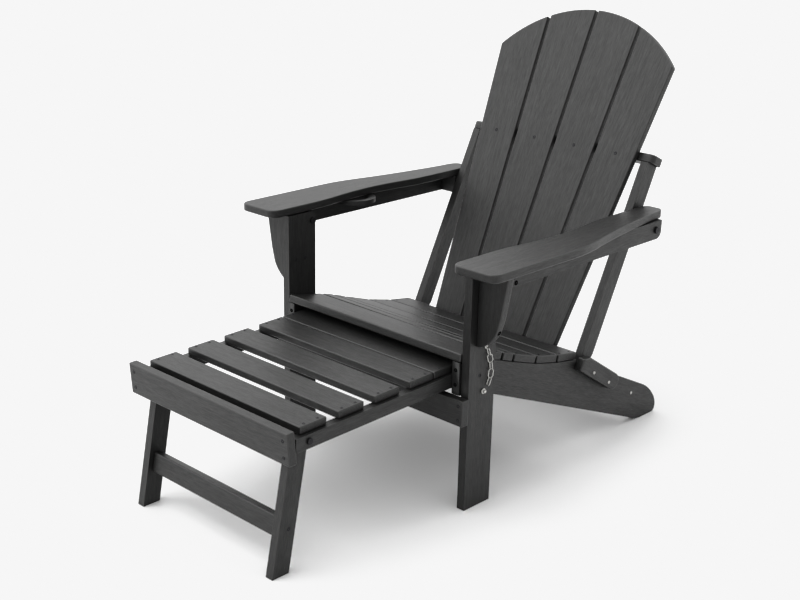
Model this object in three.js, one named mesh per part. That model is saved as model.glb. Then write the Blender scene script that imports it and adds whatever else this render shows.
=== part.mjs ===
// Folding slatted garden armchair with a pull-out footrest, built from flat boards.
// Millimetres, +Z up, the sitter faces -Y, and the left side is -X.
// Side profiles are drawn in (y, z), plan outlines in (x, y) and front outlines in (x, z).
// Everything is drawn with y = 0 at the front of the legs; the last lines move the
// whole chair so that its origin is the middle of its footprint, on the floor.
import * as THREE from 'three';

// ---- driving dimensions ---------------------------------------------------------
const BOARD = 20;              // frame boards: legs, stringers, rails, uprights
const SLAT = 18;               // seat, back and arm boards
const GAP = 0.3;               // clearance between touching pieces
const BOLT_R = 4;              // bolt shanks
const HOLE_R = 4.4;            // holes that the bolts run in
const ROUND_SIDES = 32;

const STRINGER_OUT = 264;      // outer face of the seat stringers, from the middle
const STRINGER_IN = STRINGER_OUT - BOARD;
const LEG_IN = 266;            // inner face of the front legs
const LEG_OUT = LEG_IN + BOARD;
const LEG_WIDTH = 82;
const LEG_TOP = 536;

const ARM_TOP = 556;
const ARM_UNDER = ARM_TOP - SLAT;
const ARM_RAIL_IN = 310;       // arm rails run under the middle of the arms
const ARM_RAIL_OUT = ARM_RAIL_IN + BOARD;
const ARM_RAIL_LOW = 495;
const ARM_RAIL_HIGH = ARM_UNDER - 0.5;

const BACK_LEAN = THREE.MathUtils.degToRad(25.44);
const BACK_FRONT_Y = 508;      // a point of the back's front face
const BACK_FRONT_Z = 428.6;
const BACK_THICK = 17;

const OTTOMAN_TOP = 317.8;     // heights at y = 0, which fall gently to the front
const OTTOMAN_RAIL_LOW = 271.6;
const OTTOMAN_SLOPE = 0.02;
const OTTOMAN_SLAT = 16.5;
const OTTOMAN_RAIL_OUT = 243;
const OTTOMAN_RAIL_IN = OTTOMAN_RAIL_OUT - BOARD;

// pivots and pins, as (y, z)
const LEG_PIVOT = [34, 302];
const LOCK_PIN = [46, 264];
const ARM_FRONT_PIVOT = [73, 514];
const ARM_REAR_PIVOT = [585, 517];
const BACK_PIVOT = [437, 216];
const OTTOMAN_LEG_PIVOT = [-403.5, 279];
const OTTOMAN_GLIDE = [45, 288.4];

// ---- materials ------------------------------------------------------------------
const lumber = new THREE.MeshStandardMaterial({ color: 0x35363a, roughness: 0.55, metalness: 0 });
const steel = new THREE.MeshStandardMaterial({ color: 0xb9bcc0, roughness: 0.3, metalness: 1 });

// ---- helpers --------------------------------------------------------------------
const chair = new THREE.Group();

// local x, y, z of an extruded outline turned to the chair's axes
const SIDE = new THREE.Matrix4().makeBasis(
  new THREE.Vector3(0, 1, 0), new THREE.Vector3(0, 0, 1), new THREE.Vector3(1, 0, 0));
const FRONT = new THREE.Matrix4().makeBasis(
  new THREE.Vector3(1, 0, 0), new THREE.Vector3(0, 0, 1), new THREE.Vector3(0, -1, 0));
const PLAN = new THREE.Matrix4();

function addMesh(name, geometry, material, basis, x, y, z) {
  const mesh = new THREE.Mesh(geometry, material);
  mesh.name = name;
  mesh.quaternion.setFromRotationMatrix(basis);
  mesh.position.set(x, y, z);
  chair.add(mesh);
  return mesh;
}

function extrude(shape, depth, curveSegments = 12) {
  return new THREE.ExtrudeGeometry(shape, { depth, bevelEnabled: false, curveSegments });
}

function polygon(points) {
  return new THREE.Shape(points.map(([a, b]) => new THREE.Vector2(a, b)));
}

const HOLE_SIDES = 16;

function hole(shape, [a, b], radius) {
  const points = [];
  for (let i = 0; i < HOLE_SIDES; i++) {
    const angle = -2 * Math.PI * (i + 0.3) / HOLE_SIDES;
    points.push(new THREE.Vector2(a + radius * Math.cos(angle), b + radius * Math.sin(angle)));
  }
  shape.holes.push(new THREE.Path(points));
  return shape;
}

// a board whose side profile is `shape`, between x0 and x1
function sideBoard(name, shape, x0, x1) {
  return addMesh(name, extrude(shape, x1 - x0), lumber, SIDE, x0, 0, 0);
}

// the same board on the left and on the right, between inner and outer
function sideBoards(name, makeShape, inner, outer) {
  sideBoard(`${name}_left`, makeShape(-1), -outer, -inner);
  sideBoard(`${name}_right`, makeShape(1), inner, outer);
}

// a straight board across the chair: its section in (y, z) runs from -half to +half
function crossBoard(name, section, half) {
  return sideBoard(name, polygon(section), -half, half);
}

// a rectangle in (y, z) laid off from a start point, along a direction and square to it
function slopedSection([y, z], [uy, uz], along0, along1, up0, up1) {
  const at = (a, u) => [y + a * uy - u * uz, z + a * uz + u * uy];
  return [at(along0, up0), at(along1, up0), at(along1, up1), at(along0, up1)];
}

// a turned piece on an axis along X: profile as (distance outwards from the middle, radius)
function turned(name, steps, [y, z], side) {
  const profile = [new THREE.Vector2(0, steps[0][0])];
  for (const [from, to, radius] of steps) {
    profile.push(new THREE.Vector2(radius, from), new THREE.Vector2(radius, to));
  }
  profile.push(new THREE.Vector2(0, steps[steps.length - 1][1]));
  const geometry = new THREE.LatheGeometry(profile, ROUND_SIDES / 2);
  const outwards = new THREE.Matrix4().makeRotationZ(-side * Math.PI / 2);
  return addMesh(name, geometry, steel, outwards, 0, y, z);
}

function turnedPair(name, steps, centre) {
  turned(`${name}_left`, steps, centre, -1);
  turned(`${name}_right`, steps, centre, 1);
}

// ---- seat: stringers, slats, stretchers -----------------------------------------
// the stringer's top edge is a run of flats, one for each seat slat
const SEAT_STATIONS = [
  [2, 332], [95, 313], [131, 302.5], [170, 288.5], [250.5, 262.2], [329, 243.2], [402, 231.3]];
const SLAT_SPACE = 6;          // open joint between seat slats
const SEAT_HALF = STRINGER_OUT - 0.2;
const FRONT_SLAT_NOSE = 7;     // the front slat's overhang past the stringers

function stringerShape() {
  const shape = new THREE.Shape();
  shape.moveTo(-5, 260.6);
  shape.lineTo(111.5, 230.3);
  shape.lineTo(634, 16.9);
  shape.quadraticCurveTo(660, 4, 687, 0);
  shape.lineTo(742, 0);
  shape.bezierCurveTo(757, 4, 756, 28, 740.5, 46.7);  // rounded rear end
  shape.bezierCurveTo(728, 64, 708, 80, 686.7, 90.2);
  shape.lineTo(582.3, 140.7);
  shape.lineTo(463, 200.5);                           // pocket that clears the upright's foot
  shape.lineTo(422, 200.5);
  shape.lineTo(408, 216);
  for (const [y, z] of [...SEAT_STATIONS].reverse()) shape.lineTo(y, z);
  shape.lineTo(-5, 333);
  hole(shape, LEG_PIVOT, HOLE_R);
  return shape;
}
sideBoards('stringer', stringerShape, STRINGER_IN, STRINGER_OUT);

const SEAT_SLAT_NAMES = ['seat_slat_front', 'seat_slat_narrow_1', 'seat_slat_narrow_2',
  'seat_slat_wide_1', 'seat_slat_wide_2', 'seat_slat_rear'];
const REAR_NOTCH_HALF = 192;   // the rear slat is cut away where the back's foot swings
const REAR_NOTCH_DEPTH = 8;

function seatSlats() {
  for (let i = 0; i < 6; i++) {
    const [y0, z0] = SEAT_STATIONS[i];
    const [y1, z1] = SEAT_STATIONS[i + 1];
    const length = Math.hypot(y1 - y0, z1 - z0);
    const dir = [(y1 - y0) / length, (z1 - z0) / length];
    const start = i === 0 ? -FRONT_SLAT_NOSE : SLAT_SPACE / 2;
    const end = length - SLAT_SPACE / 2;
    if (i < 5) {
      const section = slopedSection([y0, z0], dir, start, end, GAP, GAP + SLAT);
      crossBoard(SEAT_SLAT_NAMES[i], section, SEAT_HALF);
      continue;
    }
    const outline = polygon([[-SEAT_HALF, start], [SEAT_HALF, start], [SEAT_HALF, end],
      [REAR_NOTCH_HALF, end], [REAR_NOTCH_HALF, end - REAR_NOTCH_DEPTH],
      [-REAR_NOTCH_HALF, end - REAR_NOTCH_DEPTH], [-REAR_NOTCH_HALF, end], [-SEAT_HALF, end]]);
    const tilt = new THREE.Matrix4().makeRotationX(Math.atan2(dir[1], dir[0]));
    addMesh(SEAT_SLAT_NAMES[i], extrude(outline, SLAT), lumber, tilt,
      0, y0 - GAP * dir[1], z0 + GAP * dir[0]);
  }
}
seatSlats();

const STRETCHER_HALF = STRINGER_IN - GAP;
crossBoard('seat_stretcher_rear', [[630, 52], [650, 52], [650, 104], [630, 104]], STRETCHER_HALF);

// cleat that doubles the stringer's wall beside the back's foot
const CLEAT_IN = STRINGER_OUT + GAP;
const CLEAT_OUT = CLEAT_IN + BOARD;
const CLEAT_DIR = [0.842, -0.539];
const CLEAT_END = [532, 146.4];          // centre of its round end
const CLEAT_HALF_WIDTH = 20;

function cleatShape() {
  const [uy, uz] = CLEAT_DIR;
  const shape = new THREE.Shape();
  const start = Math.atan2(uy, -uz);     // upper side of the round end
  shape.moveTo(434, 232.8);
  shape.lineTo(409, 235.5);
  shape.lineTo(395, 210.4);
  shape.absarc(...CLEAT_END, CLEAT_HALF_WIDTH, start - Math.PI, start, false);
  return shape;
}
sideBoards('back_cleat', cleatShape, CLEAT_IN, CLEAT_OUT);

// stub pins that the back turns on: they stand in from the cleats
turnedPair('back_pivot_pin', [[243.9, 264.1, BOLT_R]], BACK_PIVOT);

// ledgers on the stringers' inner faces that carry the footrest's rear end when it is in
const LEDGER_TILT = Math.atan(0.2314);
const LEDGER_LENGTH = 135;
for (const [name, x] of [['left', -STRINGER_IN + GAP], ['right', STRINGER_IN - GAP - BOARD]]) {
  const section = slopedSection([200, 214], [Math.cos(LEDGER_TILT), -Math.sin(LEDGER_TILT)],
    0, LEDGER_LENGTH, -BOARD, 0);
  sideBoard(`footrest_ledger_${name}`, polygon(section), x, x + BOARD);
}

// ---- front legs -----------------------------------------------------------------
function legShape() {
  const shape = new THREE.Shape();
  const corner = 12;
  shape.moveTo(0, 0);
  shape.lineTo(LEG_WIDTH, 0);
  shape.lineTo(LEG_WIDTH, LEG_TOP - corner);
  shape.absarc(LEG_WIDTH - corner, LEG_TOP - corner, corner, 0, Math.PI / 2, false);
  shape.lineTo(0, LEG_TOP);
  hole(shape, LEG_PIVOT, HOLE_R);
  hole(shape, LOCK_PIN, HOLE_R);
  hole(shape, ARM_FRONT_PIVOT, HOLE_R);
  return shape;
}
sideBoards('front_leg', legShape, LEG_IN, LEG_OUT);
crossBoard('front_crossbar', [[-20, 199.5], [-GAP, 199.5], [-GAP, 258.7], [-20, 258.7]], 288.7);
turnedPair('leg_pivot_pin', [[244.4, 285.6, BOLT_R]], LEG_PIVOT);
turnedPair('arm_front_bolt',
  [[261.6, 265.6, 7.5], [265.6, 286.4, BOLT_R], [286.4, 309.6, 13], [309.6, 326, BOLT_R]],
  ARM_FRONT_PIVOT);

// curved bracket that stands out from each leg under the arm
const BRACKET_FRONT = 18;
const BRACKET_IN = LEG_OUT + GAP;

function bracketShape(side) {
  const top = ARM_UNDER - 0.5;
  const x = (value) => side * value;
  const shape = new THREE.Shape();
  shape.moveTo(x(BRACKET_IN), 368.5);
  shape.lineTo(x(293), 369);
  shape.bezierCurveTo(x(310), 375, x(330), 390, x(339), 412);
  shape.lineTo(x(348), 445);
  shape.lineTo(x(364), top);
  shape.lineTo(x(BRACKET_IN), top);
  return shape;
}
for (const [name, side] of [['left', -1], ['right', 1]]) {
  addMesh(`arm_bracket_${name}`, extrude(bracketShape(side), SLAT), lumber, FRONT,
    0, BRACKET_FRONT + SLAT, 0);
}

// ---- arms -----------------------------------------------------------------------
const ARM_FRONT = -47;
const ARM_REAR = 630;

function armShape(side) {
  const p = (x, y) => new THREE.Vector2(side * x, y);
  const shape = new THREE.Shape();
  shape.moveTo(side * 266.5, -20);
  shape.bezierCurveTo(side * 267, -40, side * 275, ARM_FRONT, side * 292, ARM_FRONT);
  shape.lineTo(side * 356, ARM_FRONT);
  shape.bezierCurveTo(side * 374, ARM_FRONT, side * 380, -38, side * 380, -18);
  shape.lineTo(side * 380, 210);
  shape.splineThru([p(378, 250), p(370, 298), p(357, 356), p(345, 420), p(334, 490), p(325, 560),
    p(321, 610)]);
  shape.bezierCurveTo(side * 320, 614, side * 314, ARM_REAR, side * 304, ARM_REAR);
  shape.lineTo(side * 280, ARM_REAR);
  shape.bezierCurveTo(side * 270, ARM_REAR, side * 266.5, 613, side * 266.5, 602);
  shape.lineTo(side * 266.5, 480);
  shape.splineThru([p(268.5, 425), p(276, 365), p(281, 310), p(281.5, 250), p(277, 190), p(269.5, 130),
    p(266.5, 80)]);
  return shape;
}
for (const [name, side] of [['left', -1], ['right', 1]]) {
  addMesh(`arm_${name}`, extrude(armShape(side), SLAT, 8), lumber, PLAN, 0, 0, ARM_UNDER);
}

// the left rail has a notch in its top edge that the cup holder swings through
const ARM_RAIL_FRONT = 43;
const ARM_RAIL_REAR = 606;
const CUP_NOTCH = [160, 320];
const CUP_NOTCH_FLOOR = 524.5;

function armRailShape(side) {
  const shape = new THREE.Shape();
  const corner = 18;
  shape.moveTo(ARM_RAIL_FRONT, ARM_RAIL_LOW);
  shape.lineTo(ARM_RAIL_REAR - corner, ARM_RAIL_LOW);
  shape.absarc(ARM_RAIL_REAR - corner, ARM_RAIL_LOW + corner, corner, -Math.PI / 2, 0, false);
  shape.lineTo(ARM_RAIL_REAR, ARM_RAIL_HIGH);
  if (side < 0) {
    shape.lineTo(CUP_NOTCH[1], ARM_RAIL_HIGH);
    shape.lineTo(CUP_NOTCH[1], CUP_NOTCH_FLOOR);
    shape.lineTo(CUP_NOTCH[0], CUP_NOTCH_FLOOR);
    shape.lineTo(CUP_NOTCH[0], ARM_RAIL_HIGH);
  }
  shape.lineTo(ARM_RAIL_FRONT, ARM_RAIL_HIGH);
  hole(shape, ARM_FRONT_PIVOT, HOLE_R);
  hole(shape, ARM_REAR_PIVOT, HOLE_R);
  return shape;
}
sideBoards('arm_rail', armRailShape, ARM_RAIL_IN, ARM_RAIL_OUT);

function spacerShape() {
  return hole(polygon([[565, 496], [605, 496], [605, 536.8], [565, 536.8]]), ARM_REAR_PIVOT, HOLE_R);
}
sideBoards('arm_rear_spacer', spacerShape, STRINGER_OUT + 0.6, ARM_RAIL_IN - GAP);
turnedPair('arm_rear_bolt', [[266, 330.3, BOLT_R], [330.3, 334.5, 8]], ARM_REAR_PIVOT);

// ---- swing-out cup holder under the left arm --------------------------------------
const CUP_CENTRE = [-297, 240];
const CUP_PIVOT = [-350, 285];
const CUP_LOW = 526;
const CUP_THICK = 10.5;
const CUP_OUTER_R = 50;
const CUP_HOLE_R = 36;
const CUP_TAB_R = 14;

// outline round two circles and the two straight lines that touch both
function cupHolderShape() {
  const dx = CUP_PIVOT[0] - CUP_CENTRE[0];
  const dy = CUP_PIVOT[1] - CUP_CENTRE[1];
  const towards = Math.atan2(dy, dx);
  const spread = Math.acos((CUP_OUTER_R - CUP_TAB_R) / Math.hypot(dx, dy));
  const shape = new THREE.Shape();
  shape.absarc(...CUP_PIVOT, CUP_TAB_R, towards - spread, towards + spread, false);
  shape.absarc(...CUP_CENTRE, CUP_OUTER_R, towards + spread, towards - spread + 2 * Math.PI, false);
  hole(shape, CUP_CENTRE, CUP_HOLE_R);
  hole(shape, CUP_PIVOT, HOLE_R);
  return shape;
}
addMesh('cup_holder', extrude(cupHolderShape(), CUP_THICK, 20), lumber, PLAN, 0, 0, CUP_LOW);

function cupPivotBolt() {
  const profile = [[0, 0], [8, 0], [8, 4.5], [BOLT_R, 4.5], [BOLT_R, 16.5], [0, 16.5]];
  const geometry = new THREE.LatheGeometry(profile.map(([r, h]) => new THREE.Vector2(r, h)),
    ROUND_SIDES / 2);
  addMesh('cup_pivot_bolt', geometry, steel, new THREE.Matrix4().makeRotationX(Math.PI / 2),
    ...CUP_PIVOT, CUP_LOW - 5);
}
cupPivotBolt();

// ---- back -----------------------------------------------------------------------
// back boards are placed by (along, behind): distance up the front face from z = 0,
// and distance behind it
const LEAN_SIN = Math.sin(BACK_LEAN);
const LEAN_COS = Math.cos(BACK_LEAN);
const BACK_FOOT_Y = BACK_FRONT_Y - BACK_FRONT_Z * Math.tan(BACK_LEAN);

function backPoint(along, behind) {
  return [BACK_FOOT_Y + along * LEAN_SIN + behind * LEAN_COS, along * LEAN_COS - behind * LEAN_SIN];
}

const BACK_LOW = 235 / LEAN_COS;         // along, lower ends of the slats
const BACK_CROWN = 1069.3;               // along, top of the arc on the centre line
const BACK_ARC_R = 341;
const BACK_JOINT = 8;                    // open joint between back slats
// half widths at a height z: the slats fan out towards the top
const outerEdge = (along) => 185.5 + 0.1073 * (along * LEAN_COS - 234);
const innerJoint = (along) => 98 + 0.0515 * (along * LEAN_COS - 243);

const backFrame = new THREE.Matrix4().makeBasis(
  new THREE.Vector3(1, 0, 0),
  new THREE.Vector3(0, LEAN_SIN, LEAN_COS),
  new THREE.Vector3(0, -LEAN_COS, LEAN_SIN));

const crownAt = (x) => BACK_CROWN - BACK_ARC_R + Math.sqrt(BACK_ARC_R ** 2 - x ** 2);

// where a tapered side meets the crown's arc
function sideTop(edge, offset, side) {
  let along = BACK_CROWN;
  for (let i = 0; i < 30; i++) along = crownAt(side * edge(along) + offset);
  return along;
}

function backSlat(name, edgeLow, offsetLow, edgeHigh, offsetHigh, side) {
  const x0 = (along) => side * edgeLow(along) + offsetLow;
  const x1 = (along) => side * edgeHigh(along) + offsetHigh;
  const top0 = sideTop(edgeLow, offsetLow, side);
  const top1 = sideTop(edgeHigh, offsetHigh, side);
  const points = [[x0(BACK_LOW), BACK_LOW], [x1(BACK_LOW), BACK_LOW], [x1(top1), top1]];
  const arcSteps = 14;
  for (let i = 1; i < arcSteps; i++) {
    const x = x1(top1) + (x0(top0) - x1(top1)) * i / arcSteps;
    points.push([x, crownAt(x)]);
  }
  points.push([x0(top0), top0]);
  const [y, z] = backPoint(0, BACK_THICK);
  addMesh(name, extrude(polygon(points), BACK_THICK), lumber, backFrame, 0, y, z);
}
const middle = () => 0;
const HALF_JOINT = BACK_JOINT / 2;
backSlat('back_slat_1', outerEdge, 0, innerJoint, -HALF_JOINT, -1);
backSlat('back_slat_2', innerJoint, HALF_JOINT, middle, -HALF_JOINT, -1);
backSlat('back_slat_3', middle, HALF_JOINT, innerJoint, -HALF_JOINT, 1);
backSlat('back_slat_4', innerJoint, HALF_JOINT, outerEdge, 0, 1);

// top crosspiece: lies across the uprights, its front corners rounded in its own plane
const CROSSPIECE_HALF = 272;
const CROSSPIECE_DEPTH = 40;
const CROSSPIECE_LOW = 733;              // along
const CROSSPIECE_THICK = 20.5;
const CROSSPIECE_CORNER = 14;

function topCrosspiece() {
  const shape = new THREE.Shape();
  const half = CROSSPIECE_HALF;
  const r = CROSSPIECE_CORNER;
  shape.moveTo(-half + r, 0);
  shape.lineTo(half - r, 0);
  shape.absarc(half - r, r, r, -Math.PI / 2, 0, false);
  shape.lineTo(half, CROSSPIECE_DEPTH);
  shape.lineTo(-half, CROSSPIECE_DEPTH);
  shape.lineTo(-half, r);
  shape.absarc(-half + r, r, r, Math.PI, 1.5 * Math.PI, false);
  const basis = new THREE.Matrix4().makeBasis(
    new THREE.Vector3(1, 0, 0),
    new THREE.Vector3(0, LEAN_COS, -LEAN_SIN),
    new THREE.Vector3(0, LEAN_SIN, LEAN_COS));
  const [y, z] = backPoint(CROSSPIECE_LOW, BACK_THICK + 0.4);
  addMesh('back_crosspiece_top', extrude(shape, CROSSPIECE_THICK), lumber, basis, 0, y, z);
}
topCrosspiece();

const UPRIGHT_IN = 243.9;
const UPRIGHT_OUT = 263.7;
const LOWER_RAIL = [238, 266];           // along
crossBoard('back_rail_lower',
  [backPoint(LOWER_RAIL[0], BACK_THICK + GAP), backPoint(LOWER_RAIL[0], BACK_THICK + BOARD),
    backPoint(LOWER_RAIL[1], BACK_THICK + BOARD), backPoint(LOWER_RAIL[1], BACK_THICK + GAP)],
  UPRIGHT_IN - GAP);

// uprights: 40 wide, a little more raked than the slats, with a round foot at the pivot
const UPRIGHT_SLOPE = 0.4925;
const UPRIGHT_DEPTH = 44.6;              // horizontal width of the sloping board
const UPRIGHT_KNEE = [428, 240];         // lower end of the straight front edge
const UPRIGHT_FOOT_R = 14;

function uprightShape() {
  const [kneeY, kneeZ] = UPRIGHT_KNEE;
  // a point of an edge `offset` behind the front edge, at a distance up the back's face
  const topAt = (offset) => {
    const start = kneeY + offset - UPRIGHT_SLOPE * kneeZ - BACK_FOOT_Y;
    const z = (CROSSPIECE_LOW - GAP - start * LEAN_SIN) / (UPRIGHT_SLOPE * LEAN_SIN + LEAN_COS);
    return [BACK_FOOT_Y + start + UPRIGHT_SLOPE * z, z];
  };
  const shape = new THREE.Shape();
  shape.absarc(...BACK_PIVOT, UPRIGHT_FOOT_R, Math.PI, 2 * Math.PI - 0.5, false);
  shape.lineTo(kneeY + UPRIGHT_DEPTH - 6, kneeZ - 12);
  shape.lineTo(...topAt(UPRIGHT_DEPTH));
  shape.lineTo(...topAt(0));
  shape.lineTo(kneeY, kneeZ);
  hole(shape, BACK_PIVOT, HOLE_R);
  return shape;
}
sideBoards('back_upright', uprightShape, UPRIGHT_IN, UPRIGHT_OUT);

// ---- pull-out footrest ------------------------------------------------------------
const OTTOMAN_FRONT = -437.5;
const OTTOMAN_REAR = 60;
const OTTOMAN_SLAT_HALF = 234.7;
const OTTOMAN_REAR_SLAT = [-50, 48];     // wider, under the seat's front edge
const OTTOMAN_SLAT_COUNT = 5;
const OTTOMAN_SLAT_WIDTH = 69;
const OTTOMAN_SLAT_PITCH = 99.5;
const OTTOMAN_FIRST_SLAT = -420;
const OTTOMAN_RAIL_HIGH = OTTOMAN_TOP - OTTOMAN_SLAT - GAP;

// a bar of the footrest: from y0 to y1, between two heights given at y = 0
function ottomanSection(y0, y1, low, high) {
  const at = (y, height) => [y, height + OTTOMAN_SLOPE * y];
  return [at(y0, low), at(y1, low), at(y1, high), at(y0, high)];
}

function ottomanRailShape() {
  const section = ottomanSection(OTTOMAN_FRONT, OTTOMAN_REAR, OTTOMAN_RAIL_LOW, OTTOMAN_RAIL_HIGH);
  return hole(polygon(section), OTTOMAN_LEG_PIVOT, HOLE_R);
}
sideBoards('ottoman_rail', ottomanRailShape, OTTOMAN_RAIL_IN, OTTOMAN_RAIL_OUT);
crossBoard('ottoman_fascia',
  [[-458.5, 243], [-438.5, 243], [-443.8, 312.6], [-463.8, 311.8]], 247.4);
for (let i = 0; i < OTTOMAN_SLAT_COUNT; i++) {
  const front = OTTOMAN_FIRST_SLAT + i * OTTOMAN_SLAT_PITCH;
  const isRear = i === OTTOMAN_SLAT_COUNT - 1;
  const [y0, y1] = isRear ? OTTOMAN_REAR_SLAT : [front, front + OTTOMAN_SLAT_WIDTH];
  crossBoard(`ottoman_slat_${i + 1}`,
    ottomanSection(y0, y1, OTTOMAN_TOP - OTTOMAN_SLAT, OTTOMAN_TOP), OTTOMAN_SLAT_HALF);
}

// round bar between the rails' rear ends, which the footrest tilts on as it slides
const GLIDE_R = 8;
const glideHalf = OTTOMAN_RAIL_IN - GAP;
addMesh('ottoman_glide_bar', new THREE.CylinderGeometry(GLIDE_R, GLIDE_R, 2 * glideHalf, ROUND_SIDES / 2),
  steel, new THREE.Matrix4().makeRotationZ(Math.PI / 2), 0, ...OTTOMAN_GLIDE);

// folding legs, raked forwards to the floor
const OTTOMAN_LEG_OUT = 218;
const OTTOMAN_LEG_HALF_WIDTH = 21;
const OTTOMAN_LEG_FOOT_Y = -457.4;
const OTTOMAN_LEG_TOP_R = 13.5;          // the narrowed round end turns under the slats
const OTTOMAN_LEG_SHOULDER = 25;         // below the pivot
const rakeLength = Math.hypot(OTTOMAN_LEG_FOOT_Y - OTTOMAN_LEG_PIVOT[0], OTTOMAN_LEG_PIVOT[1]);
const RAKE = [(OTTOMAN_LEG_FOOT_Y - OTTOMAN_LEG_PIVOT[0]) / rakeLength,
  -OTTOMAN_LEG_PIVOT[1] / rakeLength];

function ottomanLegShape() {
  const [ry, rz] = RAKE;
  const [py, pz] = OTTOMAN_LEG_PIVOT;
  const halfFoot = OTTOMAN_LEG_HALF_WIDTH / -rz;
  const at = (along, across) => [py + along * ry - across * rz, pz + along * rz + across * ry];
  const start = Math.atan2(ry, -rz);
  const shape = new THREE.Shape();
  shape.moveTo(OTTOMAN_LEG_FOOT_Y - halfFoot, 0);
  shape.lineTo(OTTOMAN_LEG_FOOT_Y + halfFoot, 0);
  shape.lineTo(...at(OTTOMAN_LEG_SHOULDER, OTTOMAN_LEG_HALF_WIDTH));
  shape.absarc(py, pz, OTTOMAN_LEG_TOP_R, start, start + Math.PI, false);
  shape.lineTo(...at(OTTOMAN_LEG_SHOULDER, -OTTOMAN_LEG_HALF_WIDTH));
  hole(shape, OTTOMAN_LEG_PIVOT, HOLE_R);
  return shape;
}
sideBoards('ottoman_leg', ottomanLegShape, OTTOMAN_LEG_OUT - BOARD, OTTOMAN_LEG_OUT);
crossBoard('ottoman_leg_stretcher',
  slopedSection(OTTOMAN_LEG_PIVOT, RAKE, 166, 209, -BOARD / 2, BOARD / 2),
  OTTOMAN_LEG_OUT - BOARD - GAP);
turnedPair('ottoman_leg_bolt', [[199, 243.4, BOLT_R], [243.4, 246.6, 7]], OTTOMAN_LEG_PIVOT);

// ---- lock pins and their chains ----------------------------------------------------
turnedPair('lock_pin', [[266.5, 286.4, BOLT_R], [286.4, 288.6, 6], [288.6, 293, 3.5]], LOCK_PIN);

const CHAIN_R = 2.6;
const CHAIN_X = 291.6;
const CHAIN_ROUTE = [[52, 360], [58, 342], [64, 322], [65.5, 304], [62, 289], [55, 277.5]];

for (const [name, side] of [['left', -1], ['right', 1]]) {
  const route = new THREE.CatmullRomCurve3(
    CHAIN_ROUTE.map(([y, z]) => new THREE.Vector3(side * CHAIN_X, y, z)));
  const section = new THREE.Shape();
  section.absarc(0, 0, CHAIN_R, 0, Math.PI * 2, false);
  const geometry = new THREE.ExtrudeGeometry(section,
    { steps: 20, curveSegments: 4, extrudePath: route, bevelEnabled: false });
  addMesh(`lock_chain_${name}`, geometry, steel, PLAN, 0, 0, 0);
}

// ---- origin: middle of the footprint, on the floor -----------------------------------
chair.updateMatrixWorld(true);
const box = new THREE.Box3().setFromObject(chair, true);
chair.position.set(-(box.min.x + box.max.x) / 2, -(box.min.y + box.max.y) / 2, -box.min.z);

export default chair;
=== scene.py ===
# Looks of the folding garden armchair: boards with embossed grain, steel hardware, chains,
# a pale studio floor, soft light and the camera. Metres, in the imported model's frame.
import math

import bpy
import bmesh
from mathutils import Matrix, Vector


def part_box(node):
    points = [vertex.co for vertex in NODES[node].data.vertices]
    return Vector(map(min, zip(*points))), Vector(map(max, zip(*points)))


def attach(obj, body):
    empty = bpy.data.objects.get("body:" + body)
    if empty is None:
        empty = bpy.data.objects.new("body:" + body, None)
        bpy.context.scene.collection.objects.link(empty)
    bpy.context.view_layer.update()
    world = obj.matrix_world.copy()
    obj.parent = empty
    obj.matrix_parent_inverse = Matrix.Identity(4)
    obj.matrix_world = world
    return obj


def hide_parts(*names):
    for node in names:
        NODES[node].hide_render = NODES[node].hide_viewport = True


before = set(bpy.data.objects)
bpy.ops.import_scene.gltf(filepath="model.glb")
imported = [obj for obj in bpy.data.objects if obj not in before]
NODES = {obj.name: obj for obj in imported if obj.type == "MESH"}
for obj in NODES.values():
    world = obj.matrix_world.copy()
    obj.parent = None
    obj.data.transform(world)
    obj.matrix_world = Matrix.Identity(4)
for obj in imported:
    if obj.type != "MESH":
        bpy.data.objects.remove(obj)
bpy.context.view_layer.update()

# ---- camera --------------------------------------------------------------------------
CAMERA_PLACE = (1.8985, -2.0655, 1.3277)
CAMERA_TURN = 0.778          # radians about Z, from looking along +Y
CAMERA_DOWN = 0.341
CAMERA_ROLL = 0.014
LENS_MM = 59.15
SENSOR_MM = 36.0
LENS_SHIFT = (0.032, 0.0176)


def make_camera():
    data = bpy.data.cameras.new("camera")
    data.lens = LENS_MM
    data.sensor_width = SENSOR_MM
    data.shift_x, data.shift_y = LENS_SHIFT
    camera = bpy.data.objects.new("camera", data)
    bpy.context.scene.collection.objects.link(camera)
    forward = Vector((-math.sin(CAMERA_TURN) * math.cos(CAMERA_DOWN),
                      math.cos(CAMERA_TURN) * math.cos(CAMERA_DOWN), -math.sin(CAMERA_DOWN)))
    right = Vector((math.cos(CAMERA_TURN), math.sin(CAMERA_TURN), 0))
    up = right.cross(forward)
    turned_right = right * math.cos(CAMERA_ROLL) + up * math.sin(CAMERA_ROLL)
    turned_up = up * math.cos(CAMERA_ROLL) - right * math.sin(CAMERA_ROLL)
    turn = Matrix((turned_right, turned_up, -forward)).transposed().to_4x4()
    camera.matrix_world = Matrix.Translation(CAMERA_PLACE) @ turn
    bpy.context.scene.camera = camera


make_camera()


# ---- material helpers ----------------------------------------------------------------
def new_material(name, colour, roughness, metallic=0.0):
    material = bpy.data.materials.new(name)
    material.use_nodes = True
    shader = material.node_tree.nodes["Principled BSDF"]
    shader.inputs["Base Color"].default_value = (*colour, 1)
    shader.inputs["Roughness"].default_value = roughness
    shader.inputs["Metallic"].default_value = metallic
    return material, material.node_tree, shader


def add_node(tree, kind, **settings):
    node = tree.nodes.new(kind)
    for key, value in settings.items():
        if key in node.inputs:
            node.inputs[key].default_value = value
        else:
            setattr(node, key, value)
    return node


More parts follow.
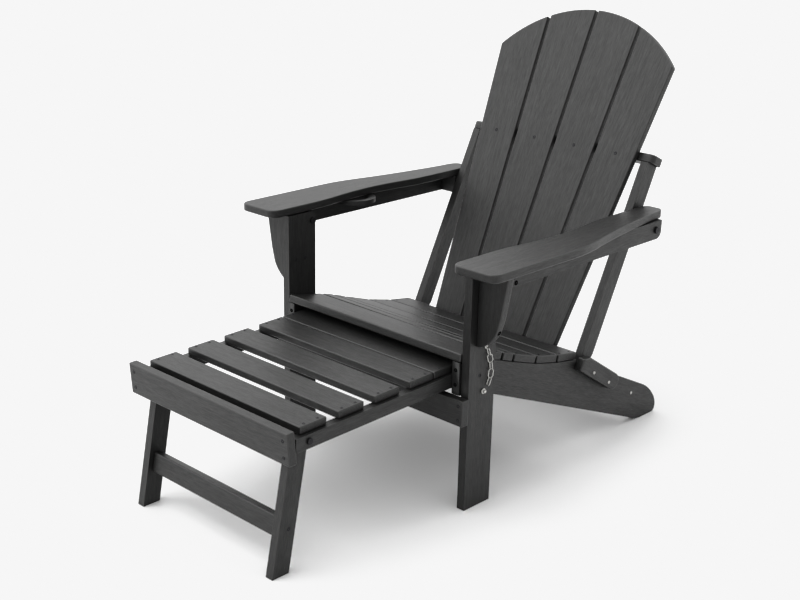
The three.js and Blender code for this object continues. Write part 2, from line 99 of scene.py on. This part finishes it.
def ramp(tree, source, stops):
    """A colour ramp on `source`: stops are (position, grey level or colour)."""
    node = tree.nodes.new("ShaderNodeValToRGB")
    tree.links.new(source, node.inputs["Fac"])
    elements = node.color_ramp.elements
    while len(elements) < len(stops):
        elements.new(0.5)
    for element, (position, level) in zip(elements, stops):
        element.position = position
        element.color = (*level, 1) if isinstance(level, tuple) else (level, level, level, 1)
    return node.outputs["Color"]


# ---- resin lumber: grain along each board ---------------------------------------------
LUMBER_DARK = (0.0090, 0.0090, 0.0088)
LUMBER_LIGHT = (0.0230, 0.0230, 0.0226)
# painted highlight: the lighter colour given to the boards' rounded edges
LUMBER_EDGE_HIGHLIGHT = (0.026, 0.026, 0.0256)
STREAK_SCALE = 640.0         # grain lines across a board, under 2 mm apart
FIGURE_SCALE = 110.0         # broader figure, about 9 mm wide
STRETCH = 0.07               # how much slower the grain changes along the board
FIGURE_WEIGHT = 0.35
POCK_SCALE = 750.0
POCK_WEIGHT = 0.35
BLOTCH_SCALE = 7.0
BLOTCH_WEIGHT = 0.35
EMBOSS_DEPTH = 0.0006
FACE_ROUGHNESS = (0.42, 0.54)    # on the grain's ridges, and in its grooves
EDGE_ROUGHNESS = (0.38, 0.48)


def grain_space(tree, along, shift):
    """Plain coordinates, and ones turned so that X runs along the board and squeezed that way."""
    place = tree.nodes.new("ShaderNodeTexCoord")
    mapping = tree.nodes.new("ShaderNodeMapping")
    mapping.vector_type = "TEXTURE"
    rotation = Vector(along).to_track_quat("X", "Z").to_euler()
    mapping.inputs["Rotation"].default_value = rotation
    mapping.inputs["Location"].default_value = shift
    tree.links.new(place.outputs["Object"], mapping.inputs["Vector"])
    stretch = add_node(tree, "ShaderNodeVectorMath", operation="MULTIPLY")
    stretch.inputs[1].default_value = (STRETCH, 1, 1)
    tree.links.new(mapping.outputs["Vector"], stretch.inputs[0])
    return place.outputs["Object"], stretch.outputs["Vector"]


def weighted_sum(tree, source, weight, base):
    node = add_node(tree, "ShaderNodeMath", operation="MULTIPLY_ADD")
    node.inputs[1].default_value = weight
    tree.links.new(source, node.inputs[0])
    tree.links.new(base, node.inputs[2])
    return node.outputs[0]


def lumber_material(name, along, shift, edge=False):
    """Charcoal boards with a fine embossed grain; the rounded edges are painted a little lighter,
    as a painted highlight.
    """
    material, tree, shader = new_material(name, LUMBER_DARK, 0.5)
    place, grain = grain_space(tree, along, shift)
    link = tree.links.new

    streaks = add_node(tree, "ShaderNodeTexNoise", Scale=STREAK_SCALE, Detail=5.0, Roughness=0.62)
    figure = add_node(tree, "ShaderNodeTexNoise", Scale=FIGURE_SCALE, Detail=3.0, Distortion=0.7)
    blotch = add_node(tree, "ShaderNodeTexNoise", Scale=BLOTCH_SCALE, Detail=2.0)
    pocks = add_node(tree, "ShaderNodeTexNoise", Scale=POCK_SCALE, Detail=2.0)
    link(grain, streaks.inputs["Vector"])
    link(grain, figure.inputs["Vector"])
    link(place, blotch.inputs["Vector"])
    link(place, pocks.inputs["Vector"])

    height = weighted_sum(tree, figure.outputs["Fac"], FIGURE_WEIGHT, streaks.outputs["Fac"])
    fine = weighted_sum(tree, pocks.outputs["Fac"], POCK_WEIGHT, height)

    # on the rounded edges the grain is shifted lighter: a painted highlight
    light = LUMBER_EDGE_HIGHLIGHT if edge else LUMBER_LIGHT
    dark = LUMBER_LIGHT if edge else LUMBER_DARK
    colour = ramp(tree, height, [(0.52, dark), (0.86, light)])
    shade = add_node(tree, "ShaderNodeMix", data_type="RGBA", blend_type="MULTIPLY")
    shade.inputs[0].default_value = BLOTCH_WEIGHT
    link(colour, shade.inputs[6])
    link(ramp(tree, blotch.outputs["Fac"], [(0.3, 0.62), (0.7, 1.0)]), shade.inputs[7])
    link(shade.outputs[2], shader.inputs["Base Color"])

    ridge, groove = EDGE_ROUGHNESS if edge else FACE_ROUGHNESS
    link(ramp(tree, height, [(0.55, groove), (1.0, ridge)]), shader.inputs["Roughness"])
    bump = add_node(tree, "ShaderNodeBump", Strength=0.55, Distance=EMBOSS_DEPTH)
    link(fine, bump.inputs["Height"])
    link(bump.outputs["Normal"], shader.inputs["Normal"])
    return material


def steel_material(name, colour, roughness, scale):
    """Metal with slight variation in shade and polish, over patches of 1 / scale metres."""
    material, tree, shader = new_material(name, colour, roughness, metallic=1.0)
    place = tree.nodes.new("ShaderNodeTexCoord")
    noise = add_node(tree, "ShaderNodeTexNoise", Scale=scale, Detail=4.0)
    tree.links.new(place.outputs["Object"], noise.inputs["Vector"])
    polish = ramp(tree, noise.outputs["Fac"], [(0.3, roughness - 0.08), (0.75, roughness + 0.14)])
    tree.links.new(polish, shader.inputs["Roughness"])
    darker = tuple(0.72 * c for c in colour)
    shade = ramp(tree, noise.outputs["Fac"], [(0.25, darker), (0.6, colour)])
    tree.links.new(shade, shader.inputs["Base Color"])
    bump = add_node(tree, "ShaderNodeBump", Strength=0.15, Distance=0.0002)
    tree.links.new(noise.outputs["Fac"], bump.inputs["Height"])
    tree.links.new(bump.outputs["Normal"], shader.inputs["Normal"])
    return material


STEEL = steel_material("stainless_steel", (0.55, 0.545, 0.52), 0.27, 260.0)
# painted shade: near black with no reflection at all, for the dark holes that plugs and screws
# sit in
RECESS_SHADE_BLACK, _, recess = new_material("painted_recess_shade", (0.002, 0.002, 0.002), 0.9)
recess.inputs["Specular IOR Level"].default_value = 0.0
BLACK_STEEL = steel_material("blackened_steel", (0.045, 0.045, 0.047), 0.45, 400.0)

# ---- which way each board's grain runs ------------------------------------------------
BACK_SLOPE = 0.4757          # how far back the back's face goes as it rises
BACK_UP = Vector((0, BACK_SLOPE, 1)).normalized()
BACK_NORMAL = Vector((0, -1, BACK_SLOPE)).normalized()      # out of the back's front face
ACROSS = Vector((1, 0, 0))
ALONG = Vector((0, 1, 0))
UPRIGHT = Vector((0, 0, 1))
STRINGER_ALONG = Vector((0, 1, -0.42)).normalized()
CLEAT_ALONG = Vector((0, 0.842, -0.539))
FOOTREST_LEG_ALONG = Vector((0, 0.19, 0.98)).normalized()
SLAT_LEAN = {"back_slat_1": -0.08, "back_slat_2": -0.026,
             "back_slat_3": 0.026, "back_slat_4": 0.08}
STEEL_WORDS = ("bolt", "pin", "chain", "glide_bar")
DARK_WORDS = ("leg_pivot_pin", "back_pivot_pin", "glide_bar", "arm_front_bolt",
              "arm_rear_bolt", "ottoman_leg_bolt")


def is_steel(node):
    return any(word in node for word in STEEL_WORDS)


def grain_direction(node):
    """The way a board's grain runs; each back slat's leans out with the slat's own taper."""
    if node in SLAT_LEAN:
        return (BACK_UP + ACROSS * SLAT_LEAN[node]).normalized()
    if node.startswith("back_upright"):
        return BACK_UP
    if node.startswith("front_leg") or node.startswith("arm_bracket"):
        return UPRIGHT
    if node.startswith("stringer") or node.startswith("footrest_ledger"):
        return STRINGER_ALONG
    if node.startswith("back_cleat"):
        return CLEAT_ALONG
    if node.startswith("arm_") or node.startswith("ottoman_rail") or node == "cup_holder":
        return ALONG
    if node in ("ottoman_leg_left", "ottoman_leg_right"):
        return FOOTREST_LEG_ALONG
    return ACROSS


# ---- finish on the CAD nodes: rounded edges and materials -----------------------------
BOARD_ROUND = 0.0028
STEEL_ROUND = 0.0007
SHARP = math.radians(35)
FLAT = math.radians(0.5)
MERGE = 0.00002
FLAT_FACE_WEIGHT = 90
GRAIN_STEP = Vector((0.37, 0.11, 0.23))    # moves the grain on, so no two boards are alike


def soften(obj, width, segments, edge_slot=-1):
    """Round the sharp edges, and keep the flat faces shaded flat."""
    weld = obj.modifiers.new("weld", "WELD")
    weld.merge_threshold = MERGE
    flat = obj.modifiers.new("whole_faces", "DECIMATE")
    flat.decimate_type = "DISSOLVE"
    flat.angle_limit = FLAT
    bevel = obj.modifiers.new("rounded_edges", "BEVEL")
    bevel.width = width
    bevel.segments = segments
    bevel.limit_method = "ANGLE"
    bevel.angle_limit = SHARP
    # the rounded edges take the second material, the painted edge highlight
    bevel.material = edge_slot
    even = obj.modifiers.new("even_faces", "WEIGHTED_NORMAL")
    even.weight = FLAT_FACE_WEIGHT
    for face in obj.data.polygons:
        face.use_smooth = True


def finish_cad_nodes():
    for index, (node, obj) in enumerate(sorted(NODES.items())):
        obj.data.materials.clear()
        if is_steel(node):
            dark = any(word in node for word in DARK_WORDS)
            obj.data.materials.append(BLACK_STEEL if dark else STEEL)
            soften(obj, STEEL_ROUND, 2)
            continue
        along = grain_direction(node)
        shift = GRAIN_STEP * index
        obj.data.materials.append(lumber_material(f"lumber_{node}", along, shift))
        # second material: the painted highlight for the rounded edges
        obj.data.materials.append(lumber_material(f"edge_{node}", along, shift, edge=True))
        soften(obj, BOARD_ROUND, 3, edge_slot=1)


finish_cad_nodes()


# ---- small hardware -------------------------------------------------------------------
def put(name, mesh_data, material, body):
    obj = bpy.data.objects.new(name, mesh_data)
    bpy.context.scene.collection.objects.link(obj)
    mesh_data.materials.append(material)
    for face in mesh_data.polygons:
        face.use_smooth = True
    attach(obj, body)
    return obj


def spin(profile, sides=28):
    """Closed turned mesh about +Z from (radius, height) points that start and end on the axis."""
    mesh = bmesh.new()
    rings = []
    for radius, height in profile:
        if radius == 0:
            rings.append([mesh.verts.new((0, 0, height))])
            continue
        rings.append([mesh.verts.new((radius * math.cos(2 * math.pi * i / sides),
                                      radius * math.sin(2 * math.pi * i / sides), height))
                      for i in range(sides)])
    for low, high in zip(rings, rings[1:]):
        for i in range(sides):
            j = (i + 1) % sides
            corners = (low[i % len(low)], low[j % len(low)], high[j % len(high)],
                       high[i % len(high)])
            unique = list(dict.fromkeys(corners))
            if len(unique) > 2:
                mesh.faces.new(unique)
    bmesh.ops.recalc_face_normals(mesh, faces=mesh.faces)
    return mesh


def facing(point, normal):
    """The matrix that stands a piece made about +Z on a point, along its normal."""
    return Matrix.Translation(point) @ Vector(normal).to_track_quat("Z", "Y").to_matrix().to_4x4()


def turned_piece(name, profile, point, normal, material, body):
    mesh = spin(profile)
    mesh.transform(facing(point, normal))
    data = bpy.data.meshes.new(name)
    mesh.to_mesh(data)
    mesh.free()
    return put(name, data, material, body)


def screw(name, point, normal, body, radius=0.0042, material=None):
    """Dished screw head set a little into the board, with its driver recess."""
    r = radius
    profile = [(0, -0.0006), (0.30 * r, -0.0006), (0.36 * r, 0.0004), (0.72 * r, 0.0007),
               (0.94 * r, 0.0004), (r, -0.0003), (r, -0.0030), (0, -0.0030)]
    return turned_piece(name, profile, point, normal, material or BLACK_STEEL, body)


def bolt_head(name, point, normal, body, radius=0.0036, height=0.0018):
    """Low domed bolt head with a round socket."""
    r, h = radius, height
    profile = [(0, 0.35 * h), (0.34 * r, 0.35 * h), (0.40 * r, 0.96 * h), (0.62 * r, h),
               (0.86 * r, 0.72 * h), (r, 0.25 * h), (r, -0.0008), (0, -0.0008)]
    return turned_piece(name, profile, point, normal, STEEL, body)


def top_height(node, y):
    """Height of a sloping board's upper face at y, from its own two upper edges."""
    vertices = [v.co for v in NODES[node].data.vertices]
    low_y, high_y = min(v.y for v in vertices), max(v.y for v in vertices)
    middle = (low_y + high_y) / 2
    front = max((v.z, v.y) for v in vertices if v.y < middle)
    back = max((v.z, v.y) for v in vertices if v.y > middle)
    fraction = (y - front[1]) / (back[1] - front[1])
    return front[0] + fraction * (back[0] - front[0])


def slope_normal(node):
    low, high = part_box(node)
    rise = top_height(node, high.y) - top_height(node, low.y)
    return Vector((0, -rise, high.y - low.y)).normalized()


SIDES = ((-1, "left"), (1, "right"))
SEAT_SCREW_X = 0.254         # over the middle of the stringers
FOOTREST_SCREW_X = 0.226
SLAT_SCREW_R = 0.0034
NARROW_SLAT = 0.045          # narrower slats have one screw at each end


def screws_along_slats():
    """One or two screws at each end of every seat and footrest slat."""
    rows = [(node, SEAT_SCREW_X, "seat") for node in NODES if node.startswith("seat_slat")]
    rows += [(node, FOOTREST_SCREW_X, "footrest") for node in NODES
             if node.startswith("ottoman_slat")]
    for node, x, body in sorted(rows):
        low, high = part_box(node)
        length = high.y - low.y
        fractions = (0.5,) if length < NARROW_SLAT else (0.24, 0.76)
        normal = slope_normal(node)
        for number, fraction in enumerate(fractions):
            y = low.y + fraction * length
            for side, word in SIDES:
                point = (side * x, y, top_height(node, y))
                screw(f"{node}_screw_{number}_{word}", point, normal, body, SLAT_SCREW_R)


screws_along_slats()


def back_front_point(x, z):
    """A point on the back slats' front face at height z, above slat 2's lowest front corner."""
    vertices = NODES["back_slat_2"].data.vertices
    foot = min((v.co for v in vertices), key=lambda co: (round(co.y, 4), co.z))
    return Vector((x, foot.y + BACK_SLOPE * (z - foot.z), z))


BACK_SCREW_HEIGHT = 0.665
BACK_SCREW_COLUMNS = (0.060, 0.180)


def back_screws():
    """One screw through each back slat into the top crosspiece."""
    for column, x in enumerate(BACK_SCREW_COLUMNS):
        for side, word in SIDES:
            screw(f"back_screw_0_{column}_{word}", back_front_point(side * x, BACK_SCREW_HEIGHT),
                  BACK_NORMAL, "back")


back_screws()


# screws seen from the front: distances from the chair's middle, and heights
CROSSBAR_SCREW_X, CROSSBAR_SCREW_HEIGHTS = 0.276, (0.213, 0.245)
FASCIA_SCREW_X, FASCIA_SCREW_HEIGHTS = 0.233, (0.259, 0.294)
FASCIA_TOP = 0.3118
FASCIA_RAKE = 0.0053 / 0.0688    # the fascia's face comes forwards as it rises
LEG_SCREWS = ((0.022, 0.429), (0.050, 0.428))    # behind the leg's front edge, and height
LEG_INNER_FACE = 0.266


def front_screws():
    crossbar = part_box("front_crossbar")
    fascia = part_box("ottoman_fascia")
    for side, word in SIDES:
        for number, z in enumerate(CROSSBAR_SCREW_HEIGHTS):
            point = (side * CROSSBAR_SCREW_X, crossbar[0].y, z)
            screw(f"crossbar_screw_{number}_{word}", point, (0, -1, 0), "legs")
        for number, z in enumerate(FASCIA_SCREW_HEIGHTS):
            y = fascia[0].y + FASCIA_RAKE * (FASCIA_TOP - z)
            point = (side * FASCIA_SCREW_X, y, z)
            screw(f"fascia_screw_{number}_{word}", point, (0, -1, -FASCIA_RAKE), "footrest")
        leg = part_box(f"front_leg_{word}")
        for number, (back, z) in enumerate(LEG_SCREWS):
            point = (side * LEG_INNER_FACE, leg[0].y + back, z)
            screw(f"leg_screw_{number}_{word}", point, (-side, 0, 0), "legs")


front_screws()


# hardware on side faces, as (distance behind the legs' front edge, height)
CLEAT_BOLTS = ((0.448, 0.192), (0.511, 0.1505))
REAR_STRETCHER_BOLT = (0.6408, 0.0797)
FOOTREST_LEG_SCREW = (-0.435, 0.095)
CHAIN_EYE = (0.050, 0.3615)
ARM_FRONT_PLUG = (0.083, 0.503)
STRINGER_SCREW_X, STRINGER_SCREW_HEIGHTS = 0.2535, (0.282, 0.315)
BRACKET_INNER_EDGE = 0.2875
BRACKET_SCREW_HEIGHT = 0.410
# outer faces that the heads stand on
CLEAT_FACE, STRINGER_FACE, LEG_FACE = 0.2843, 0.264, 0.286
FOOTREST_LEG_FACE, ARM_RAIL_FACE = 0.218, 0.3301
PLUG_R = 0.0050


def bracket_edge(node, z):
    """Half width at height z of a bracket's curved outer edge, and how fast it widens upwards."""
    edge = sorted((v.co.z, abs(v.co.x)) for v in NODES[node].data.vertices
                  if abs(v.co.x) > BRACKET_INNER_EDGE)
    below = max(point for point in edge if point[0] <= z)
    above = min(point for point in edge if point[0] > z)
    slope = (above[1] - below[1]) / (above[0] - below[0])
    return below[1] + slope * (z - below[0]), slope


def side_bolts():
    """Hardware on the outer faces of cleats, stringers, legs and arm rails, and in edges."""
    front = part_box("front_leg_right")[0].y
    for side, word in SIDES:
        out = (side, 0, 0)

        def on_face(x, place):
            return (side * x, front + place[0], place[1])

        for number, place in enumerate(CLEAT_BOLTS):
            bolt_head(f"cleat_bolt_{number}_{word}", on_face(CLEAT_FACE, place), out, "seat")
        bolt_head(f"rear_stretcher_bolt_{word}", on_face(STRINGER_FACE, REAR_STRETCHER_BOLT),
                  out, "seat")
        screw(f"footrest_leg_screw_{word}", on_face(FOOTREST_LEG_FACE, FOOTREST_LEG_SCREW),
              out, "footrest_legs")
        bolt_head(f"chain_eye_{word}", on_face(LEG_FACE, CHAIN_EYE), out, "legs", 0.0045, 0.003)
        # the arm plug is painted near black: painted shade of its hole
        screw(f"arm_front_plug_{word}", on_face(ARM_RAIL_FACE, ARM_FRONT_PLUG), out, "arms",
              PLUG_R, RECESS_SHADE_BLACK)
        # the stringer front screws are painted near black: painted shade of their holes
        for number, z in enumerate(STRINGER_SCREW_HEIGHTS):
            point = (side * STRINGER_SCREW_X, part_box(f"stringer_{word}")[0].y, z)
            screw(f"stringer_front_screw_{number}_{word}", point, (0, -1, 0), "seat", 0.0042,
                  RECESS_SHADE_BLACK)
        # the bracket screw is painted near black: painted shade of its recess in the curved edge
        x, slope = bracket_edge(f"arm_bracket_{word}", BRACKET_SCREW_HEIGHT)
        low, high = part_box(f"arm_bracket_{word}")
        point = (side * x, (low.y + high.y) / 2, BRACKET_SCREW_HEIGHT)
        screw(f"bracket_screw_{word}", point, (side, 0, -slope), "legs", PLUG_R, RECESS_SHADE_BLACK)


side_bolts()


# ---- lock chains: separate oval links --------------------------------------------------
LINK_LENGTH = 0.0212
LINK_WIDTH = 0.0128
LINK_WIRE = 0.0009
LINK_COUNT = 5
# the way a link's width faces, turned about a quarter from one link to the next, and its width
LINK_TURNS = ((Vector((1, -0.2, 0)), 0.8 * LINK_WIDTH), (Vector((0.35, 1, 0)), LINK_WIDTH))
# the chain's bow, as (distance behind the leg's front edge, height)
CHAIN_ROUTE = ((0.0500, 0.3600), (0.0570, 0.3400), (0.0640, 0.3180), (0.0635, 0.2960),
               (0.0545, 0.2760))


def link_mesh(length, width, wire, around=8, along=40):
    """One oval link in the XZ plane, long in Z, centred on the origin."""
    mesh = bmesh.new()
    straight = (length - width) / 2
    bend = width / 2 - wire
    arc = math.pi * bend
    perimeter = 4 * straight + 2 * arc
    rings = []
    for i in range(along):
        t = perimeter * i / along
        if t < 2 * straight:
            normal = Vector((1, 0, 0))
            centre = Vector((bend, 0, -straight + t))
        elif t < 2 * straight + arc:
            angle = (t - 2 * straight) / bend
            normal = Vector((math.cos(angle), 0, math.sin(angle)))
            centre = Vector((0, 0, straight)) + normal * bend
        elif t < 4 * straight + arc:
            normal = Vector((-1, 0, 0))
            centre = Vector((-bend, 0, straight - (t - 2 * straight - arc)))
        else:
            angle = math.pi + (t - 4 * straight - arc) / bend
            normal = Vector((math.cos(angle), 0, math.sin(angle)))
            centre = Vector((0, 0, -straight)) + normal * bend
        rings.append([mesh.verts.new(centre + wire * (normal * math.cos(2 * math.pi * k / around)
                                     + Vector((0, 1, 0)) * math.sin(2 * math.pi * k / around)))
                      for k in range(around)])
    for i in range(along):
        low, high = rings[i], rings[(i + 1) % along]
        for k in range(around):
            n = (k + 1) % around
            mesh.faces.new((low[k], low[n], high[n], high[k]))
    bmesh.ops.recalc_face_normals(mesh, faces=mesh.faces)
    return mesh


def chain(word):
    """Links in a slack bow, from the eye below the bracket's tip to above the lock pin's knob."""
    node = f"lock_chain_{word}"
    low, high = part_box(node)
    x = (low.x + high.x) / 2
    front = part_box(f"front_leg_{word}")[0].y
    curve = [Vector((x, front + y, z)) for y, z in CHAIN_ROUTE]
    data = bpy.data.meshes.new(f"chain_{word}")
    whole = bmesh.new()

    def route(t):
        place = t * (len(curve) - 1)
        step = min(int(place), len(curve) - 2)
        return curve[step].lerp(curve[step + 1], place - step)

    for i in range(LINK_COUNT):
        start, end = route(i / LINK_COUNT), route((i + 1) / LINK_COUNT)
        along = (end - start).normalized()
        roll, width = LINK_TURNS[i % 2]
        width_axis = (roll - along * roll.dot(along)).normalized()
        depth_axis = along.cross(width_axis)
        turn = Matrix((width_axis, -depth_axis, along)).transposed().to_4x4()
        link = link_mesh(LINK_LENGTH, width, LINK_WIRE)
        link.transform(Matrix.Translation((start + end) / 2) @ turn)
        part = bpy.data.meshes.new("link")
        link.to_mesh(part)
        link.free()
        whole.from_mesh(part)
        bpy.data.meshes.remove(part)
    whole.to_mesh(data)
    whole.free()
    piece = put(f"chain_links_{word}", data, STEEL, node)
    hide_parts(node)


chain("left")
chain("right")


# ---- floor and light -------------------------------------------------------------------
PAPER = 0.9216               # the even backdrop, floor and all
FLOOR_SIZE = 60
FLOOR_LEVEL = -0.0005
ROOM_DIM, ROOM_BRIGHT = 0.42, 1.38   # the room's light, away from and towards its windows
WINDOWS = Vector((-0.72, 0.05, 0.68)).normalized()
FLOOR_ALBEDO = 0.82
SUN = 0.85
SUN_FROM = Vector((-0.40, -0.60, 1.0)).normalized()
SUN_WIDTH = math.radians(50)
TONES = ((0.0, 0.0), (0.025, 0.016), (0.060, 0.058), (0.120, 0.150), (0.36, 0.40),
         (0.48, 0.56), (0.62, 0.78), (0.82, PAPER), (1.0, PAPER))


def make_stage():
    bpy.ops.mesh.primitive_plane_add(size=FLOOR_SIZE, location=(0, 0, FLOOR_LEVEL))
    floor = bpy.context.object
    floor.name = "studio_floor"
    material, _, shader = new_material("studio_floor", (FLOOR_ALBEDO,) * 3, 1.0)
    shader.inputs["Specular IOR Level"].default_value = 0.0
    floor.data.materials.append(material)


def make_light():
    """A broad soft sun from above, in front and to the left, in a room brighter on the left."""
    world = bpy.data.worlds.new("studio")
    bpy.context.scene.world = world
    world.use_nodes = True
    tree = world.node_tree
    room = tree.nodes["Background"]
    room.inputs["Color"].default_value = (1, 1, 1, 1)
    look = tree.nodes.new("ShaderNodeTexCoord")
    facing_windows = add_node(tree, "ShaderNodeVectorMath", operation="DOT_PRODUCT")
    facing_windows.inputs[1].default_value = WINDOWS
    tree.links.new(look.outputs["Generated"], facing_windows.inputs[0])
    level = tree.nodes.new("ShaderNodeMapRange")
    level.inputs["From Min"].default_value = -1
    level.inputs["To Min"].default_value = ROOM_DIM
    level.inputs["To Max"].default_value = ROOM_BRIGHT
    tree.links.new(facing_windows.outputs["Value"], level.inputs["Value"])
    tree.links.new(level.outputs["Result"], room.inputs["Strength"])
    paper = add_node(tree, "ShaderNodeBackground", Strength=PAPER)
    paper.inputs["Color"].default_value = (1, 1, 1, 1)
    rays = tree.nodes.new("ShaderNodeLightPath")
    mix = tree.nodes.new("ShaderNodeMixShader")
    tree.links.new(rays.outputs["Is Camera Ray"], mix.inputs[0])
    tree.links.new(room.outputs[0], mix.inputs[1])
    tree.links.new(paper.outputs[0], mix.inputs[2])
    tree.links.new(mix.outputs[0], tree.nodes["World Output"].inputs["Surface"])
    data = bpy.data.lights.new("sun", "SUN")
    data.energy = SUN
    data.angle = SUN_WIDTH
    sun = bpy.data.objects.new("sun", data)
    bpy.context.scene.collection.objects.link(sun)
    sun.rotation_euler = SUN_FROM.to_track_quat("Z", "Y").to_euler()


make_stage()
make_light()


def set_tones():
    """Deep blacks, bright tops, and a floor that reaches an even paper white."""
    view = bpy.context.scene.view_settings
    view.view_transform = "Standard"
    view.use_curve_mapping = True
    mapping = view.curve_mapping
    mapping.extend = "HORIZONTAL"
    curve = mapping.curves[3]
    curve.points[0].location = TONES[0]
    curve.points[1].location = TONES[-1]
    for point in TONES[1:-1]:
        curve.points.new(*point)
    for point in curve.points:
        point.handle_type = "AUTO_CLAMPED"
    mapping.update()


set_tones()
